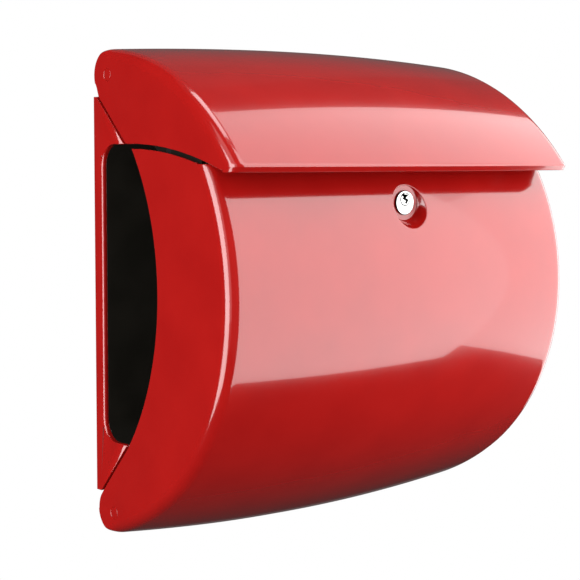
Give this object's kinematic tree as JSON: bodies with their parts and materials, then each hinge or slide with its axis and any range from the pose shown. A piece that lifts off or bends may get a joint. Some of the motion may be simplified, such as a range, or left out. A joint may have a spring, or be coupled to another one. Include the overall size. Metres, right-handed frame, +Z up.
{
  "type": "wall-mounted letter box",
  "caption": "Wall-mounted plastic letter box with a hinged top flap, a bulging drop-down front door with a cam lock, and an open newspaper holder running from side to side.",
  "frame": {"origin": "centre of the four wall screws, on the flat back face of the rear housing", "axes": "+Y into the wall, -Y to the front, +X to the viewer's right when facing the front, +Z up"},
  "size_m": [0.35, 0.1945, 0.3912],
  "materials": {
    "red_plastic": "high gloss, self coloured",
    "black_plastic": "fine matte grain",
    "lock_metal": "bright nickel plate",
    "steel": "zinc plated",
    "rubber": "matt"
  },
  "bodies": {
    "housing": {"rear_housing": "red_plastic", "side_plate_left": "black_plastic", "side_plate_right": "black_plastic", "newspaper_tube": "black_plastic", "inlet_frame": "black_plastic", "letter_tray": "black_plastic", "lid_pin_left": "red_plastic", "lid_pin_right": "red_plastic", "door_pin_left": "red_plastic", "door_pin_right": "red_plastic", "keeper_plate": "steel", "keeper_screws": "steel", "chassis_screws": "steel", "side_screws_left": "steel", "side_screws_right": "steel", "lid_buffers": "rubber", "door_buffers": "rubber"},
    "lid": {"lid": "red_plastic"},
    "door": {"door": "red_plastic", "lock_body": "lock_metal", "lock_clip": "steel"},
    "lock": {"lock_plug": "lock_metal", "lock_cam": "steel", "cam_screw": "steel"}
  },
  "joints": [
    {"name": "lid_hinge", "type": "hinge", "parent": "housing", "child": "lid", "pos_m": [0, -0.02, 0.168], "axis": [-1, 0, 0], "range_deg": [0, 50]},
    {"name": "door_hinge", "type": "hinge", "parent": "housing", "child": "door", "pos_m": [0, -0.025, -0.174], "axis": [1, 0, 0], "range_deg": [0, 68]},
    {"name": "lock_turn", "type": "hinge", "parent": "door", "child": "lock", "pos_m": [0, -0.14, 0.0717], "axis": [0, 1, 0], "range_deg": [0, 90]}
  ]
}
